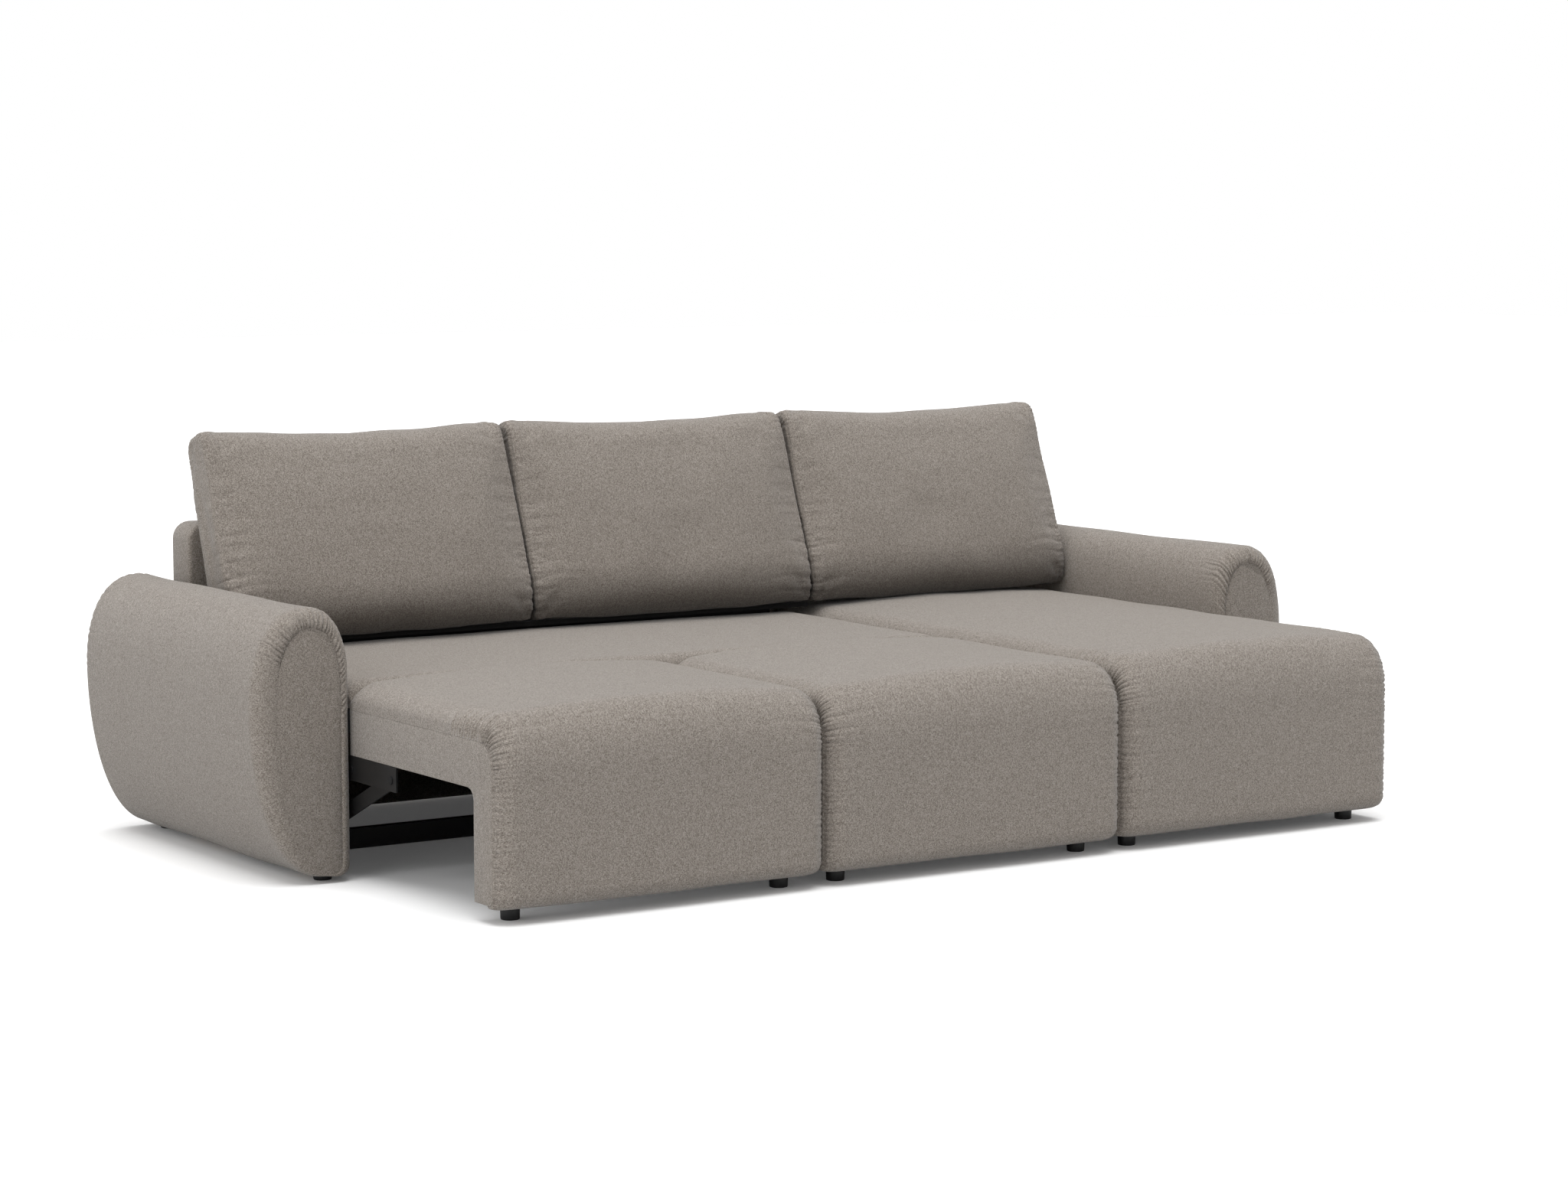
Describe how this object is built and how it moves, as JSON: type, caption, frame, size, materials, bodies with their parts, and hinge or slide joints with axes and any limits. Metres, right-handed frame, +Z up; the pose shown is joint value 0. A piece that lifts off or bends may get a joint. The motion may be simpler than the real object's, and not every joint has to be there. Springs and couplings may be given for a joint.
{
  "type": "corner sofa bed with pull-out seat",
  "caption": "Corner sofa bed with rounded arms and loose back cushions; its front seats swing out on levers as the deck behind rises level to make a bed.",
  "frame": {"origin": "on the floor, at the centre of the sofa's width and of its depth with the bed pulled out", "axes": "+X to the right as seen from the front, +Y from the front to the back, +Z up"},
  "size_m": [2.888, 1.6, 0.9478],
  "materials": {
    "upholstery": "woven chenille, matt",
    "covered_timber": "timber boards covered with the same fabric",
    "timber": "plain sawn",
    "black_steel": "black powder coat",
    "bright_steel": "zinc plated",
    "black_plastic": "matt"
  },
  "bodies": {
    "frame": {"chaise_pad": "upholstery", "chaise_carcass": "covered_timber", "chaise_foot_front_left": "black_plastic", "chaise_foot_front_right": "black_plastic", "chaise_foot_rear_left": "black_plastic", "chaise_foot_rear_right": "black_plastic", "base_plate_left": "black_steel", "base_plate_right": "black_steel", "base_cross_rail": "black_steel", "arm_left_upholstery": "upholstery", "arm_left_board": "timber", "arm_left_front_panel": "upholstery", "arm_left_rear_panel": "upholstery", "arm_left_foot_front": "black_plastic", "arm_left_foot_rear": "black_plastic", "arm_right_upholstery": "upholstery", "arm_right_board": "timber", "arm_right_front_panel": "upholstery", "arm_right_rear_panel": "upholstery", "arm_right_foot_front": "black_plastic", "arm_right_foot_rear": "black_plastic", "back_upholstery": "upholstery", "back_board": "timber", "cushion_ledge": "timber", "ledge_angle": "black_steel", "back_cushion_left": "upholstery", "back_cushion_middle": "upholstery", "back_cushion_right": "upholstery"},
    "front_section": {"module_left_pad": "upholstery", "module_left_carcass": "covered_timber", "module_left_foot_left": "black_plastic", "module_left_foot_right": "black_plastic", "module_middle_pad": "upholstery", "module_middle_carcass": "covered_timber", "module_middle_foot_left": "black_plastic", "module_middle_foot_right": "black_plastic", "module_tie_bolt_front": "bright_steel", "module_tie_bolt_rear": "bright_steel", "seat_plate_left": "black_steel", "seat_plate_right": "black_steel", "seat_pin_fore_left": "bright_steel", "seat_pin_fore_right": "bright_steel", "seat_pin_aft_left": "bright_steel", "seat_pin_aft_right": "bright_steel"},
    "fore_crank": {"fore_lever_left": "black_steel", "fore_lever_right": "black_steel", "fore_rocker_left": "black_steel", "fore_rocker_right": "black_steel"},
    "aft_crank": {"aft_lever_left": "black_steel", "aft_lever_right": "black_steel", "aft_rocker_left": "black_steel", "aft_rocker_right": "black_steel"},
    "deck": {"deck_frame": "covered_timber", "deck_pad": "upholstery", "deck_hanger_left": "black_steel", "deck_hanger_right": "black_steel", "deck_pin_fore_left": "bright_steel", "deck_pin_fore_right": "bright_steel", "deck_pin_aft_left": "bright_steel", "deck_pin_aft_right": "bright_steel"}
  },
  "joints": [
    {"name": "bed_fold", "type": "hinge", "parent": "frame", "child": "fore_crank", "pos_m": [-0.405, -0.012, 0.107], "axis": [-1, 0, 0], "range_deg": [0, 132]},
    {"name": "aft_crank_turn", "type": "hinge", "parent": "frame", "child": "aft_crank", "pos_m": [-0.405, 0.173, 0.107], "axis": [-1, 0, 0], "range_deg": [0, 132]},
    {"name": "front_section_pivot", "type": "hinge", "parent": "fore_crank", "child": "front_section", "pos_m": [-0.405, -0.322, 0.24502], "axis": [-1, 0, 0], "range_deg": [-132, 0]},
    {"name": "deck_pivot", "type": "hinge", "parent": "aft_crank", "child": "deck", "pos_m": [-0.405, 0.1563, 0.22583], "axis": [-1, 0, 0], "range_deg": [-132, 0]}
  ],
  "couplings": [
    {"joint": "aft_crank_turn", "follows": "bed_fold", "ratio": 1},
    {"joint": "front_section_pivot", "follows": "bed_fold", "ratio": -1},
    {"joint": "deck_pivot", "follows": "bed_fold", "ratio": -1}
  ]
}
